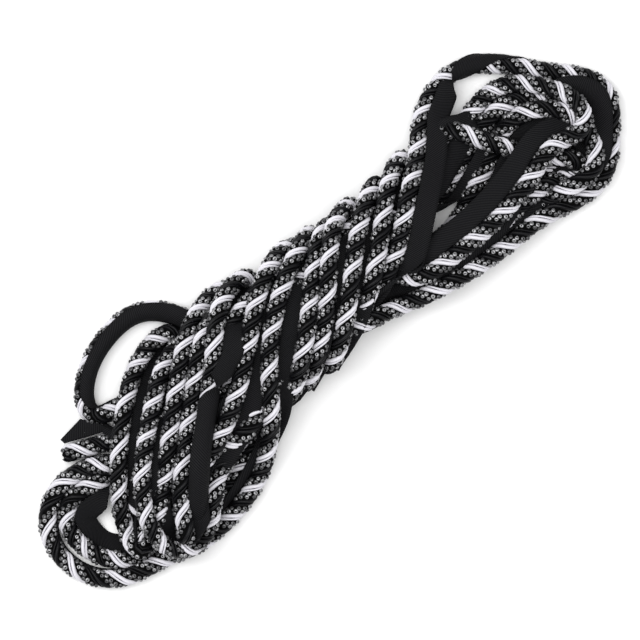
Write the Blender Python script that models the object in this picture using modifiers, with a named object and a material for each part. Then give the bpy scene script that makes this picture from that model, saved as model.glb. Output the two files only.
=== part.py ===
"""Braided cord trim: a twisted lip cord with its sewn-on tape, wound into a flat hank.

Lengths in this file are millimetres and become metres where a mesh is made.
X runs along the hank, Z is up, and the hank rests on Z = 0.
"""
import math

import bpy
import bmesh
import numpy as np

MM = 0.001

# real sizes of the trim
CORD_DIAMETER = 8.0
CORD_PLIES = 4
PLY_PITCH = 19.0
PLY_DEPTH = 0.55
TAPE_THICKNESS = 1.2
WOUND_TAPE_THICKNESS = 2.2

# how the plan of the hank was read: points are given as pixels of a view from
# straight above, and the hank is then turned to lie along X
MM_PER_PIXEL = 0.42
VIEW_MIDDLE = (320.0, 320.0)
VIEW_TURN = 38.0
MIDDLE_SHIFT = (2.28, 3.74)
LAYER_HEIGHT = 8.0

# section of the tape about the cord for the turns of the cord, as the angle and the
# radius of four points from its sewn edge to its free edge
TAPE_LAYS = (
    (0, ((-60, 3.7), (-34, 6.4), (-24, 8.8), (-18, 11.4))),
    (30, ((20, 4.0), (9, 6.8), (4, 9.7), (2, 12.8))),
    (60, ((95, 4.4), (58, 5.3), (30, 7.2), (12, 9.6))),
    (90, ((0, 4.2), (48, 4.6), (92, 4.7), (138, 5.0))),
    (120, ((85, 4.4), (122, 5.3), (150, 7.2), (168, 9.6))),
    (150, ((160, 4.0), (171, 6.8), (176, 9.7), (178, 12.8))),
    (180, ((240, 3.7), (214, 6.4), (204, 8.8), (198, 11.4))),
    (270, ((180, 4.2), (228, 4.6), (272, 4.7), (318, 5.0))),
    (360, ((300, 3.7), (326, 6.4), (336, 8.8), (342, 11.4))),
)
# the same of a tape that is pressed round the cord, from the middle of its side
TAPE_PRESSED = ((-90, 4.1), (-42, 4.4), (2, 4.4), (48, 4.6))

# laying the passes on each other
LAY_STEP = 4.0
LAY_GAP = 7.8
LAY_ROUNDS = 1500
SEEN_HOLD = 0.48
HIDDEN_HOLD = 0.03

# how the wound form is made
FLAT_REST = 0.5
SAMPLE_STEP = 2.5
TUBE_RESOLUTION = 2
VOXEL = 1.5
HANK_TRIANGLES = 9800
PIECE_GAP = 0.3

# the free length at the lower left, before the cord goes under its own wraps
LOOSE_LENGTH = 21.0
LOOSE_SIDES = 24
LOOSE_STEP = 0.9

# middle line of the straight core, and the direction across it, in pixels
CORE_LINE = (
    (150, 490), (181, 453), (216, 408), (250, 359), (286, 320), (324, 281), (370, 255), (411, 232),
)
CORE_ACROSS = (0.623, 0.783)

# the one cord from its loose end to its hidden end, run by run
# a seen run has rows of x and y in pixels, the layer it lies in, and the turn of the
# tape about the cord in degrees: 0 is to the right of the way the cord runs, 90 is up
# and 180 is to the left; in a pressed run the tape is also pressed round the cord
# a hidden run has no turns: there the tape is pressed and takes the shortest way round
# a core run has its offset across the core line in pixels, its layer, and the first
# and the last point of the core line that it passes
RUNS = (
    ("loose end", "seen", (
        (61, 456, 0.1, 165), (80, 450, 0.1, 165), (100, 444, 0.3, 165), (116, 441, 0.8, 170),
    )),
    ("core run 1", "core", (-19, 1, 1, 7)),
    ("crossing cord", "hidden", (
        (405, 205, 0.4), (411, 172, 0.4), (418, 146, 0.6), (430, 130, 1.2),
    )),
    ("crossing cord", "seen", (
        (446, 127, 2.0, 165), (461, 132, 2.6, 180), (477, 138, 2.8, 220), (495, 144, 2.7, 260),
        (515, 149, 2.2, 270), (535, 154, 1.4, 270),
    )),
    ("crossing cord, return", "seen", (
        (552, 157, 1.2, 270), (572, 156, 1.2, 280), (586, 163, 1.2, 330), (584, 176, 1.0, 350),
        (566, 178, 1.0, 360), (546, 184, 1.0, 390), (522, 203, 0.8, 440), (498, 228, 0.7, 450),
        (462, 256, 0.8, 450), (432, 277, 0.9, 450),
    )),
    ("core run 2", "core", (19, 1, 6, 1)),
    ("inner loop, lower left", "seen", (
        (178, 524, 0.6, 0), (160, 545, 0.4, 0), (140, 558, 0.3, 0), (117, 563, 0.3, 0),
        (94, 556, 0.2, 0), (76, 543, 0.1, 20), (64, 527, 0.1, 30), (63, 509, 0.1, 30),
        (73, 494, 0.1, 30), (91, 484, 0.2, 30), (110, 475, 0.4, 20),
    )),
    ("core run 3", "core", (-38, 1, 1, 7)),
    ("third loop", "seen", (
        (432, 205, 0.8, 25), (452, 175, 0.8, 25), (470, 148, 0.7, 40), (484, 124, 0.8, 30),
        (495, 108, 1.2, 10), (512, 99, 1.3, 0), (532, 98, 1.0, 0), (555, 105, 0.7, 0),
        (572, 118, 0.6, 0), (577, 135, 0.5, 0), (567, 150, 0.5, 0), (545, 170, 0.4, 30),
        (520, 196, 0.2, 90), (490, 226, 0.2, 90), (455, 255, 0.4, 90), (425, 270, 0.6, 40),
    )),
    ("core run 4", "core", (0, 1, 6, 2)),
    ("thin single loop", "hidden", (
        (215, 385, 1.2), (203, 352, 1.4), (190, 330, 1.0),
    )),
    ("thin single loop", "pressed", (
        (172, 313, 0.6, 130), (150, 308, 0.4, 138), (128, 314, 0.3, 145), (109, 331, 0.2, 150),
        (94, 351, 0.1, 154), (84, 374, 0.1, 156), (81, 398, 0.2, 165), (86, 416, 0.5, 215),
        (98, 420, 0.8, 260), (111, 411, 1.2, 270), (126, 403, 1.6, 270),
    )),
    ("core run 5, start", "hidden", (
        (150, 410, 2.0),
    )),
    ("core run 5", "core", (-38, 2, 2, 6)),
    ("second loop", "seen", (
        (402, 215, 1.6, 60), (420, 190, 1.4, 60), (437, 161, 1.0, 60), (453, 138, 0.8, 60),
        (467, 119, 1.0, 30), (480, 103, 1.4, 10), (494, 89, 2.0, 0), (512, 81, 2.4, 0),
        (532, 83, 2.6, 0), (552, 87, 2.8, -10), (570, 95, 2.8, -10), (583, 108, 2.6, -20),
        (588, 122, 2.4, -20), (580, 134, 2.3, -10), (564, 138, 2.4, 0), (550, 147, 2.5, 15),
        (534, 174, 2.5, 28), (507, 209, 2.5, 30), (478, 237, 2.4, 30), (448, 260, 2.2, 30),
        (420, 280, 2.0, 20),
    )),
    ("core run 6", "core", (19, 2, 6, 3)),
    ("short turn and wrap B", "hidden", (
        (236, 440, 1.8), (222, 458, 2.0),
    )),
    ("short turn and wrap B", "seen", (
        (214, 483, 2.3, 0), (213, 505, 2.4, 0), (209, 526, 2.2, 0), (198, 543, 2.0, 0),
        (183, 553, 2.0, 0), (167, 550, 2.2, 0), (155, 536, 2.4, 0), (146, 515, 2.6, 0),
        (142, 490, 2.6, 10), (143, 460, 2.6, 10), (147, 435, 2.4, 10), (153, 403, 2.6, 0),
        (163, 368, 2.6, 0), (174, 347, 2.2, 0),
    )),
    ("core run 7, start", "hidden", (
        (190, 340, 1.8), (215, 345, 1.8), (245, 345, 2.0),
    )),
    ("core run 7", "core", (-19, 2, 4, 6)),
    ("fourth loop", "hidden", (
        (400, 258, 1.7),
    )),
    ("fourth loop", "seen", (
        (422, 249, 1.5, 20), (442, 238, 1.3, 25), (458, 221, 1.2, 30), (469, 200, 1.1, 30),
        (481, 178, 1.0, 30), (490, 159, 1.0, 30), (499, 138, 1.2, 30), (508, 122, 1.6, 20),
        (524, 111, 1.8, 10), (545, 107, 1.5, 0), (566, 110, 1.2, 0), (583, 123, 0.9, 0),
        (595, 143, 0.9, 0), (598, 164, 1.2, 0), (586, 180, 1.6, 0), (566, 187, 1.8, 0),
        (542, 200, 1.5, 60), (515, 225, 1.3, 90), (485, 252, 1.2, 90), (455, 275, 1.2, 90),
        (425, 292, 1.2, 90),
    )),
    ("core run 8", "core", (37, 1, 6, 1)),
    ("hidden turn", "hidden", (
        (165, 510, 0.8), (146, 520, 0.8), (130, 510, 0.9), (128, 490, 1.0), (142, 470, 1.2),
    )),
    ("core run 9", "core", (0, 2, 1, 5)),
    ("outer loop", "hidden", (
        (368, 296, 2.2),
    )),
    ("outer loop", "seen", (
        (384, 278, 2.8, 15), (396, 254, 3.2, 25), (404, 217, 3.3, 30), (412, 180, 3.4, 30),
        (418, 147, 3.3, 30), (421, 119, 3.0, 45), (429, 97, 2.6, 48), (442, 79, 2.2, 60),
    )),
    ("outer loop", "pressed", (
        (460, 66, 2.0, 85), (480, 63, 2.0, 140), (500, 64, 2.1, 215), (522, 67, 2.2, 275),
        (538, 69, 2.2, 345),
    )),
    ("outer loop", "seen", (
        (551, 71, 2.2, 395), (572, 72, 2.2, 415), (592, 77, 2.0, 420), (609, 88, 1.8, 420),
        (613, 109, 1.6, 420), (613, 132, 1.6, 420), (612, 156, 1.7, 420), (605, 177, 1.8, 405),
        (590, 193, 1.9, 385), (566, 205, 1.9, 385), (540, 218, 1.8, 388), (510, 243, 1.7, 390),
        (480, 265, 1.6, 390), (450, 282, 1.6, 390), (420, 298, 1.6, 385), (396, 308, 1.5, 340),
        (377, 316, 1.3, 290),
    )),
    ("core run 10", "core", (36, 2, 4, 2)),
    ("outer loop, lower left, and wrap G", "hidden", (
        (175, 470, 1.2), (145, 464, 1.1),
    )),
    ("outer loop, lower left, and wrap G", "seen", (
        (118, 463, 1.2, 270), (95, 465, 1.2, 270), (72, 476, 1.2, 270), (54, 494, 1.1, 270),
        (46, 518, 0.8, 270), (48, 541, 0.5, 260), (61, 560, 0.4, 250), (81, 575, 0.3, 250),
        (105, 581, 0.3, 250), (129, 577, 0.3, 250), (150, 562, 0.3, 220), (175, 552, 0.5, 190),
        (200, 541, 0.8, 180), (222, 526, 1.1, 180), (240, 507, 1.6, 180), (256, 484, 2.0, 190),
        (266, 458, 2.4, 250), (270, 435, 2.7, 295), (271, 410, 3.0, 335), (269, 370, 3.3, 365),
        (272, 329, 3.4, 375), (281, 292, 3.4, 370), (292, 262, 3.1, 360), (303, 242, 2.4, 340),
        (312, 233, 1.4, 340),
    )),
    ("under, G to H", "hidden", (
        (310, 246, 0.3), (300, 290, 0), (292, 340, 0), (283, 380, 0),
    )),
    ("wrap H", "seen", (
        (284, 398, 0.9, 270), (293, 390, 2.2, 300), (304, 352, 3.2, 360), (311, 303, 3.4, 370),
        (314, 266, 3.2, 360), (321, 237, 2.6, 340), (331, 224, 1.5, 340),
    )),
    ("under, H to I", "hidden", (
        (330, 240, 0.3), (320, 280, 0), (312, 330, 0), (303, 372, 0),
    )),
    ("wrap I", "seen", (
        (303, 386, 0.9, 270), (312, 374, 2.2, 290), (320, 342, 3.1, 350), (327, 298, 3.5, 370),
        (329, 255, 3.5, 365), (334, 222, 3.0, 350), (346, 207, 2.0, 340), (356, 204, 1.1, 340),
    )),
    ("under, I to J", "hidden", (
        (352, 220, 0.3), (342, 262, 0), (332, 310, 0), (325, 350, 0),
    )),
    ("wrap J", "seen", (
        (326, 370, 0.9, 270), (336, 355, 1.9, 285), (344, 330, 2.8, 330), (349, 300, 3.3, 360),
        (353, 265, 3.5, 360), (359, 227, 3.3, 355), (368, 195, 2.6, 345), (378, 181, 1.5, 340),
    )),
    ("under, J to K", "hidden", (
        (376, 197, 0.3), (366, 240, 0), (356, 285, 0), (348, 316, 0),
    )),
    ("wrap K", "seen", (
        (350, 328, 0.9, 270), (362, 310, 2.0, 285), (371, 288, 2.8, 330), (377, 262, 3.2, 345),
        (383, 216, 3.4, 345), (389, 180, 3.0, 345), (398, 160, 2.0, 350), (408, 156, 1.1, 340),
    )),
    ("under, K to F", "hidden", (
        (404, 175, 0.3), (380, 230, 0), (340, 290, 0), (295, 345, 0), (250, 400, 0),
        (215, 445, 0), (190, 485, 0.5),
    )),
    ("wrap F", "seen", (
        (183, 489, 1.2, 360), (186, 476, 2.0, 360), (200, 466, 2.5, 360), (213, 450, 2.9, 360),
        (224, 430, 3.0, 365), (237, 394, 3.2, 370), (248, 348, 3.4, 370), (256, 303, 3.4, 370),
        (267, 270, 3.1, 355), (281, 252, 2.2, 340), (291, 246, 1.2, 340),
    )),
    ("under, F to E", "hidden", (
        (290, 260, 0.3), (275, 310, 0), (260, 370, 0), (242, 430, 0), (215, 490, 0),
        (198, 530, 0),
    )),
    ("wrap E", "seen", (
        (188, 542, 0.6, 430), (194, 522, 1.8, 450), (198, 480, 2.6, 450), (203, 435, 2.9, 450),
        (209, 398, 3.1, 450), (212, 370, 3.3, 420), (214, 346, 3.4, 385),
        (220, 304, 3.3, 365), (234, 283, 2.6, 345), (248, 276, 1.6, 340),
    )),
    ("under, E to D", "hidden", (
        (258, 288, 0.5), (245, 340, 0), (228, 400, 0), (205, 460, 0), (190, 510, 0),
    )),
    ("wrap D", "seen", (
        (186, 542, 0.7, 350), (186, 525, 1.8, 360), (181, 505, 2.6, 370), (184, 465, 3.1, 370),
        (189, 420, 3.2, 370), (195, 382, 3.0, 370), (201, 350, 2.6, 365), (208, 325, 1.9, 360),
    )),
    ("under, D to C", "hidden", (
        (222, 305, 1.1), (232, 300, 0.5), (225, 340, 0), (208, 400, 0), (180, 460, 0),
        (162, 510, 0),
    )),
    ("wrap C", "seen", (
        (152, 532, 0.8, 350), (158, 515, 1.9, 355), (165, 480, 2.8, 365), (170, 435, 3.2, 370),
        (177, 390, 3.4, 370), (184, 347, 3.4, 370), (194, 318, 3.2, 360), (208, 299, 2.6, 345),
        (226, 288, 1.6, 340),
    )),
    ("under, C to A", "hidden", (
        (235, 298, 0.4), (215, 340, 0), (190, 400, 0), (160, 460, 0), (142, 520, 0),
    )),
    ("wrap A", "seen", (
        (146, 556, 0.5, 350), (134, 548, 1.4, 360), (126, 530, 2.2, 370), (119, 495, 2.6, 375),
        (119, 450, 2.7, 375), (125, 402, 2.8, 375), (137, 363, 2.7, 370), (152, 341, 2.2, 355),
        (167, 331, 1.5, 340), (182, 330, 0.9, 340),
    )),
    ("hidden end", "hidden", (
        (195, 345, 0.3), (185, 385, 0), (170, 430, 0),
    )),
)

# plan outline of the loose end's tape: x, y, and the height of its middle
LOOSE_TAPE = (
    (-119.7, 23.9, 4.7), (-107.6, 25.7, 5.4), (-102.3, 18.8, 5.0), (-100.7, 15.4, 4.8),
    (-101.5, 14.6, 4.6), (-109.5, 17.6, 4.5), (-117.6, 20.9, 4.5), (-119.3, 21.4, 4.5),
)

# colour, roughness and metallic value of each piece
COATS = {
    "hank": ((0.16, 0.16, 0.165), 0.55, 0.15),
    "loose_end_cord": ((0.34, 0.34, 0.35), 0.45, 0.25),
    "loose_end_tape": ((0.012, 0.012, 0.014), 0.85, 0.0),
}


def clear_scene():
    for item in list(bpy.data.objects):
        bpy.data.objects.remove(item, do_unlink=True)


def new_collection(name):
    group = bpy.data.collections.new(name)
    bpy.context.scene.collection.children.link(group)
    return group


def control_rows():
    """x, y, z, tape turn, hold and press of every point of the runs, seen from above."""
    rows = []
    for _name, kind, points in RUNS:
        if kind == "core":
            offset, layer, first, last = points
            way = 1 if last >= first else -1
            for k in range(first, last + way, way):
                px = CORE_LINE[k][0] + CORE_ACROSS[0] * offset
                py = CORE_LINE[k][1] + CORE_ACROSS[1] * offset
                rows.append((px, py, layer, math.nan, 0.0, 1.0))
        elif kind == "hidden":
            rows.extend(row + (math.nan, 0.0, 1.0) for row in points)
        else:
            press = 1.0 if kind == "pressed" else 0.0
            rows.extend(row + (1.0, press) for row in points)
    table = np.array(rows, dtype=float)
    given = np.nonzero(~np.isnan(table[:, 3]))[0]
    away = np.abs(np.arange(len(table))[:, None] - given[None, :])
    table[:, 3] = table[given[np.argmin(away, axis=1)], 3]
    hidden = table[:, 4] == 0
    table[1:, 5] = np.maximum(table[1:, 5], hidden[:-1])
    table[:-1, 5] = np.maximum(table[:-1, 5], hidden[1:])
    table[:, 0] = (table[:, 0] - VIEW_MIDDLE[0]) * MM_PER_PIXEL
    table[:, 1] = (VIEW_MIDDLE[1] - table[:, 1]) * MM_PER_PIXEL
    table[:, 2] = 0.5 * CORD_DIAMETER + LAYER_HEIGHT * table[:, 2]
    return table


def smooth_curve(rows, per_span):
    """Points of a centripetal curve through the rows, with the other columns blended."""
    ends = np.vstack([2 * rows[0] - rows[1], rows, 2 * rows[-1] - rows[-2]])
    parts = []
    for i in range(1, len(ends) - 2):
        p0, p1, p2, p3 = ends[i - 1:i + 3, :3]
        t0 = 0.0
        t1 = t0 + max(np.linalg.norm(p1 - p0), 0.001) ** 0.5
        t2 = t1 + max(np.linalg.norm(p2 - p1), 0.001) ** 0.5
        t3 = t2 + max(np.linalg.norm(p3 - p2), 0.001) ** 0.5
        t = np.linspace(t1, t2, per_span, endpoint=False)[:, None]
        a1 = (t1 - t) / (t1 - t0) * p0 + (t - t0) / (t1 - t0) * p1
        a2 = (t2 - t) / (t2 - t1) * p1 + (t - t1) / (t2 - t1) * p2
        a3 = (t3 - t) / (t3 - t2) * p2 + (t - t2) / (t3 - t2) * p3
        b1 = (t2 - t) / (t2 - t0) * a1 + (t - t0) / (t2 - t0) * a2
        b2 = (t3 - t) / (t3 - t1) * a2 + (t - t1) / (t3 - t1) * a3
        place = (t2 - t) / (t2 - t1) * b1 + (t - t1) / (t2 - t1) * b2
        share = np.linspace(0.0, 1.0, per_span, endpoint=False)[:, None]
        other = (1 - share) * ends[i, 3:] + share * ends[i + 1, 3:]
        parts.append(np.hstack([place, other]))
    parts.append(rows[-1:])
    return np.vstack(parts)


def arc_lengths(points):
    steps = np.linalg.norm(np.diff(points[:, :3], axis=0), axis=1)
    return np.concatenate([[0.0], np.cumsum(steps)])


def stretch(curve, start, end, step):
    """The curve between two distances along it, at even steps."""
    s = arc_lengths(curve)
    end = min(end, s[-1])
    count = max(int(round((end - start) / step)), 2)
    at = np.linspace(start, end, count + 1)
    return np.column_stack([np.interp(at, s, curve[:, k]) for k in range(curve.shape[1])])


def lay_passes(rows):
    """Let the cord down on itself: passes keep one diameter apart, seen runs keep their plan."""
    dense = smooth_curve(rows, 24)
    line = stretch(dense, 0.0, 1e9, LAY_STEP)
    place = line[:, :3].copy()
    plan = line[:, :2].copy()
    hold = (HIDDEN_HOLD + (SEEN_HOLD - HIDDEN_HOLD) * np.clip(line[:, 4], 0, 1))[:, None]
    low = 0.5 * CORD_DIAMETER
    first, second = np.triu_indices(len(place), 4)
    near_one = first[:0]
    near_two = second[:0]
    for k in range(LAY_ROUNDS):
        place[:, 2] -= 0.25 if k < 0.7 * LAY_ROUNDS else 0.06
        fair = place.copy()
        fair[2:-2] = (4 * place[1:-3] + 4 * place[3:-1] - place[:-4] - place[4:]) / 6.0
        place += 0.35 * (fair - place)
        for _ in range(2):
            gap = place[1:] - place[:-1]
            size = np.linalg.norm(gap, axis=1, keepdims=True)
            move = gap * (size - LAY_STEP) / size * 0.25
            place[:-1] += move
            place[1:] -= move
        place[:, :2] += hold * (plan - place[:, :2])
        if k % 4 == 0:
            reach = LAY_GAP + 4.0
            close = np.abs(place[first, 0] - place[second, 0]) < reach
            close &= np.abs(place[first, 1] - place[second, 1]) < reach
            close &= np.abs(place[first, 2] - place[second, 2]) < reach
            near_one = first[close]
            near_two = second[close]
        apart = place[near_two] - place[near_one]
        size = np.linalg.norm(apart, axis=1)
        hit = (size < LAY_GAP) & (np.abs(near_two - near_one) > 4)
        one = near_one[hit]
        two = near_two[hit]
        size = np.maximum(size[hit], 0.3)
        push = apart[hit] / size[:, None] * ((LAY_GAP - size) * 0.3)[:, None]
        total = np.zeros_like(place)
        count = np.zeros(len(place))
        np.add.at(total, one, -push)
        np.add.at(total, two, push)
        np.add.at(count, one, 1)
        np.add.at(count, two, 1)
        place += total / np.sqrt(np.maximum(count, 1))[:, None]
        place[:, 2] = np.maximum(place[:, 2], low)
    for _ in range(3):
        place[1:-1] = 0.25 * place[:-2] + 0.5 * place[1:-1] + 0.25 * place[2:]
    return np.column_stack([place, line[:, 3:]])


def turned(curve):
    """The plan turned so that the hank lies along X about its middle, and let down a little."""
    a = math.radians(VIEW_TURN)
    x = curve[:, 0] * math.cos(a) + curve[:, 1] * math.sin(a) - MIDDLE_SHIFT[0]
    y = curve[:, 1] * math.cos(a) - curve[:, 0] * math.sin(a) - MIDDLE_SHIFT[1]
    return np.column_stack([x, y, curve[:, 2] - FLAT_REST, curve[:, 3:]])


def cord_route():
    """Centre of the whole cord, and the turn, hold and press of its tape."""
    return smooth_curve(turned(lay_passes(control_rows())), 4)


def unit(vectors):
    return vectors / np.linalg.norm(vectors, axis=-1, keepdims=True)


def carried_frame(points):
    """Unit side and up vectors carried along a stretch without twist, and its tangent."""
    tangent = unit(np.gradient(points[:, :3], axis=0))
    side = unit(np.cross(tangent, (0.0, 0.0, 1.0)))
    for i in range(1, len(side)):
        side[i] = side[i - 1] - tangent[i] * float(side[i - 1] @ tangent[i])
        side[i] /= np.linalg.norm(side[i])
    return side, np.cross(side, tangent), tangent


def level_frame(tangent):
    """Unit vectors to the right of the way the cord runs, and up."""
    right = unit(np.cross(tangent, (0.0, 0.0, 1.0)) + 1e-9)
    return right, np.cross(right, tangent)


def free_section(turn):
    """Angles and radii across the tape for one turn of the cord, from the table of lays."""
    part = turn - math.floor(turn / 360.0) * 360.0
    for (low, first), (high, second) in zip(TAPE_LAYS[:-1], TAPE_LAYS[1:]):
        if part <= high:
            break
    f = (part - low) / (high - low)
    return [(math.radians(a + f * (c - a)), b + f * (d - b)) for (a, b), (c, d) in zip(first, second)]


def tape_rows(points):
    """Places across the tape, from the cord's centre, at each step of a stretch."""
    side, up, tangent = carried_frame(points)
    right, above = level_frame(tangent)
    lean = np.arctan2(np.sum(right * up, axis=1), np.sum(right * side, axis=1))
    angle = lean + np.radians(points[:, 3])
    given = np.nonzero(points[:, 4] > 0.99)[0]
    angle = np.interp(np.arange(len(points)), given, np.unwrap(angle[given]))
    rows = np.zeros((len(points), 4, 3))
    for i in range(len(points)):
        press = points[i, 5]
        for k, (free_angle, free_radius) in enumerate(free_section(points[i, 3])):
            offset, radius = TAPE_PRESSED[k]
            turned_angle = angle[i] + math.radians(offset)
            free = free_radius * (right[i] * math.cos(free_angle) + above[i] * math.sin(free_angle))
            pressed = radius * (side[i] * math.cos(turned_angle) + up[i] * math.sin(turned_angle))
            rows[i, k] = (1 - press) * free + press * pressed
    return rows


def add_mesh(name, mesh, group):
    obj = bpy.data.objects.new(name, mesh)
    group.objects.link(obj)
    return obj


def poly_curve(name, points, cyclic=False):
    shape = bpy.data.curves.new(name, "CURVE")
    shape.dimensions = "3D"
    shape.twist_mode = "Z_UP"
    spline = shape.splines.new("POLY")
    spline.points.add(len(points) - 1)
    for point, place in zip(spline.points, points):
        point.co = (place[0] * MM, place[1] * MM, place[2] * MM, 1.0)
    spline.use_cyclic_u = cyclic
    return shape


def curve_to_mesh(name, shape, group):
    """A mesh object from a curve, with its caps welded and its faces pointing out."""
    guide = bpy.data.objects.new(name + "_line", shape)
    group.objects.link(guide)
    bpy.context.view_layer.update()
    graph = bpy.context.evaluated_depsgraph_get()
    mesh = bpy.data.meshes.new_from_object(guide.evaluated_get(graph))
    obj = add_mesh(name, mesh, group)
    obj.matrix_world = guide.matrix_world
    bpy.data.objects.remove(guide, do_unlink=True)
    clean(obj)
    return obj


def tube(name, points, radius, group):
    shape = poly_curve(name, points)
    shape.bevel_depth = radius * MM
    shape.bevel_resolution = TUBE_RESOLUTION
    shape.use_fill_caps = True
    return curve_to_mesh(name, shape, group)


def clean(obj):
    bm = bmesh.new()
    bm.from_mesh(obj.data)
    bmesh.ops.remove_doubles(bm, verts=bm.verts, dist=0.00002)
    bmesh.ops.dissolve_degenerate(bm, edges=bm.edges, dist=0.00002)
    bmesh.ops.holes_fill(bm, edges=[edge for edge in bm.edges if edge.is_boundary], sides=6)
    bmesh.ops.triangulate(bm, faces=bm.faces)
    bmesh.ops.recalc_face_normals(bm, faces=bm.faces)
    bm.to_mesh(obj.data)
    bm.free()


def bake(obj):
    """Replace an object's mesh by the result of its modifiers."""
    bpy.context.view_layer.update()
    graph = bpy.context.evaluated_depsgraph_get()
    mesh = bpy.data.meshes.new_from_object(obj.evaluated_get(graph))
    obj.modifiers.clear()
    obj.data = mesh


def thicken(obj, thickness):
    step = obj.modifiers.new("thickness", "SOLIDIFY")
    step.thickness = thickness * MM
    step.offset = 0.0
    bake(obj)
    clean(obj)


def tape_strip(name, points, group):
    """The tape along a stretch, lofted between its changing lays and then thickened."""
    bm = bmesh.new()
    last_row = None
    for place, across in zip(points[:, :3], tape_rows(points)):
        row = [bm.verts.new((place + offset) * MM) for offset in across]
        if last_row is not None:
            for k in range(len(row) - 1):
                bm.faces.new((last_row[k], last_row[k + 1], row[k + 1], row[k]))
        last_row = row
    mesh = bpy.data.meshes.new(name)
    bm.to_mesh(mesh)
    bm.free()
    strip = add_mesh(name, mesh, group)
    thicken(strip, WOUND_TAPE_THICKNESS)
    return strip


def merged(name, pieces, group):
    """One object that holds the meshes of several, which are removed."""
    bm = bmesh.new()
    for piece in pieces:
        bm.from_mesh(piece.data)
        bpy.data.objects.remove(piece, do_unlink=True)
    mesh = bpy.data.meshes.new(name)
    bm.to_mesh(mesh)
    bm.free()
    return add_mesh(name, mesh, group)


def triangle_count(obj):
    return sum(len(face.vertices) - 2 for face in obj.data.polygons)


def keep_largest_shell(obj):
    bm = bmesh.new()
    bm.from_mesh(obj.data)
    bm.faces.ensure_lookup_table()
    seen = set()
    shells = []
    for face in bm.faces:
        if face.index in seen:
            continue
        stack = [face]
        seen.add(face.index)
        shell = []
        while stack:
            here = stack.pop()
            shell.append(here)
            for edge in here.edges:
                for other in edge.link_faces:
                    if other.index not in seen:
                        seen.add(other.index)
                        stack.append(other)
        shells.append(shell)
    shells.sort(key=len, reverse=True)
    drop = [face for shell in shells[1:] for face in shell]
    if drop:
        bmesh.ops.delete(bm, geom=drop, context="FACES")
        loose = [v for v in bm.verts if not v.link_faces]
        bmesh.ops.delete(bm, geom=loose, context="VERTS")
    bm.to_mesh(obj.data)
    bm.free()


def as_cutter(obj):
    obj.hide_render = True
    obj.display_type = "WIRE"
    return obj


def under_floor(group):
    """A block whose top is the surface that the hank rests on."""
    bm = bmesh.new()
    bmesh.ops.create_cube(bm, size=1.0)
    bmesh.ops.scale(bm, vec=(0.8, 0.4, 0.06), verts=bm.verts)
    bmesh.ops.translate(bm, vec=(0.0, 0.0, -0.03), verts=bm.verts)
    mesh = bpy.data.meshes.new("under_floor")
    bm.to_mesh(mesh)
    bm.free()
    return as_cutter(add_mesh("under_floor", mesh, group))


def subtract(obj, cutter):
    step = obj.modifiers.new("cut", "BOOLEAN")
    step.operation = "DIFFERENCE"
    step.object = cutter
    step.solver = "EXACT"
    bake(obj)
    clean(obj)


def build_hank(route, cutters, group):
    body = stretch(route, LOOSE_LENGTH + PIECE_GAP, 1e9, SAMPLE_STEP)
    cord = tube("hank_cord", body, 0.5 * CORD_DIAMETER - 0.1, group)
    tape = tape_strip("hank_tape", body, group)
    hank = merged("hank", [cord, tape], group)
    skin = hank.modifiers.new("skin", "REMESH")
    skin.mode = "VOXEL"
    skin.voxel_size = VOXEL * MM
    skin.adaptivity = 0.0
    bake(hank)
    keep_largest_shell(hank)
    thin = hank.modifiers.new("thin", "DECIMATE")
    thin.decimate_type = "COLLAPSE"
    thin.ratio = HANK_TRIANGLES / triangle_count(hank)
    bake(hank)
    clean(hank)
    for cutter in cutters:
        subtract(hank, cutter)
    keep_largest_shell(hank)
    return hank


def lobed_section(radius, depth):
    """Outline of the cord across: one rounded lobe for each ply."""
    ring = []
    for k in range(LOOSE_SIDES):
        a = 2 * math.pi * k / LOOSE_SIDES
        r = radius - depth + depth * abs(math.cos(0.5 * CORD_PLIES * a))
        ring.append((r * math.cos(a), r * math.sin(a), 0.0))
    return ring


def build_loose_cord(route, floor, group):
    """The cut end of the cord, its plies raised and twisted along the route."""
    end = stretch(route, 0.0, LOOSE_LENGTH, LOOSE_STEP)
    s = arc_lengths(end)
    outline = poly_curve("ply_outline", lobed_section(0.5 * CORD_DIAMETER, PLY_DEPTH), cyclic=True)
    outline.dimensions = "2D"
    outline.fill_mode = "NONE"
    section = bpy.data.objects.new("ply_outline", outline)
    group.objects.link(section)
    shape = poly_curve("loose_end_cord", end)
    shape.bevel_mode = "OBJECT"
    shape.bevel_object = section
    shape.use_fill_caps = True
    for i, point in enumerate(shape.splines[0].points):
        tip = min(s[i] / 3.0, 1.0)
        point.radius = math.sqrt(max(1 - (1 - tip) ** 2, 0.12))
        point.tilt = 2 * math.pi * s[i] / PLY_PITCH
    cord = curve_to_mesh("loose_end_cord", shape, group)
    bpy.data.objects.remove(section, do_unlink=True)
    subtract(cord, floor)
    return cord


def plate(name, outline, thickness, grow, group):
    """A thin sheet over a plan outline, whose corners have their own heights."""
    points = np.array(outline, dtype=float)
    middle = points[:, :2].mean(axis=0)
    bm = bmesh.new()
    corners = []
    for x, y, z in points:
        way = np.array([x, y]) - middle
        way *= 1 + grow / max(np.linalg.norm(way), 0.1)
        corners.append(bm.verts.new(((middle[0] + way[0]) * MM, (middle[1] + way[1]) * MM, z * MM)))
    bmesh.ops.contextual_create(bm, geom=corners)
    bmesh.ops.triangulate(bm, faces=bm.faces)
    mesh = bpy.data.meshes.new(name)
    bm.to_mesh(mesh)
    bm.free()
    sheet = add_mesh(name, mesh, group)
    thicken(sheet, thickness)
    return sheet


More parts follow.
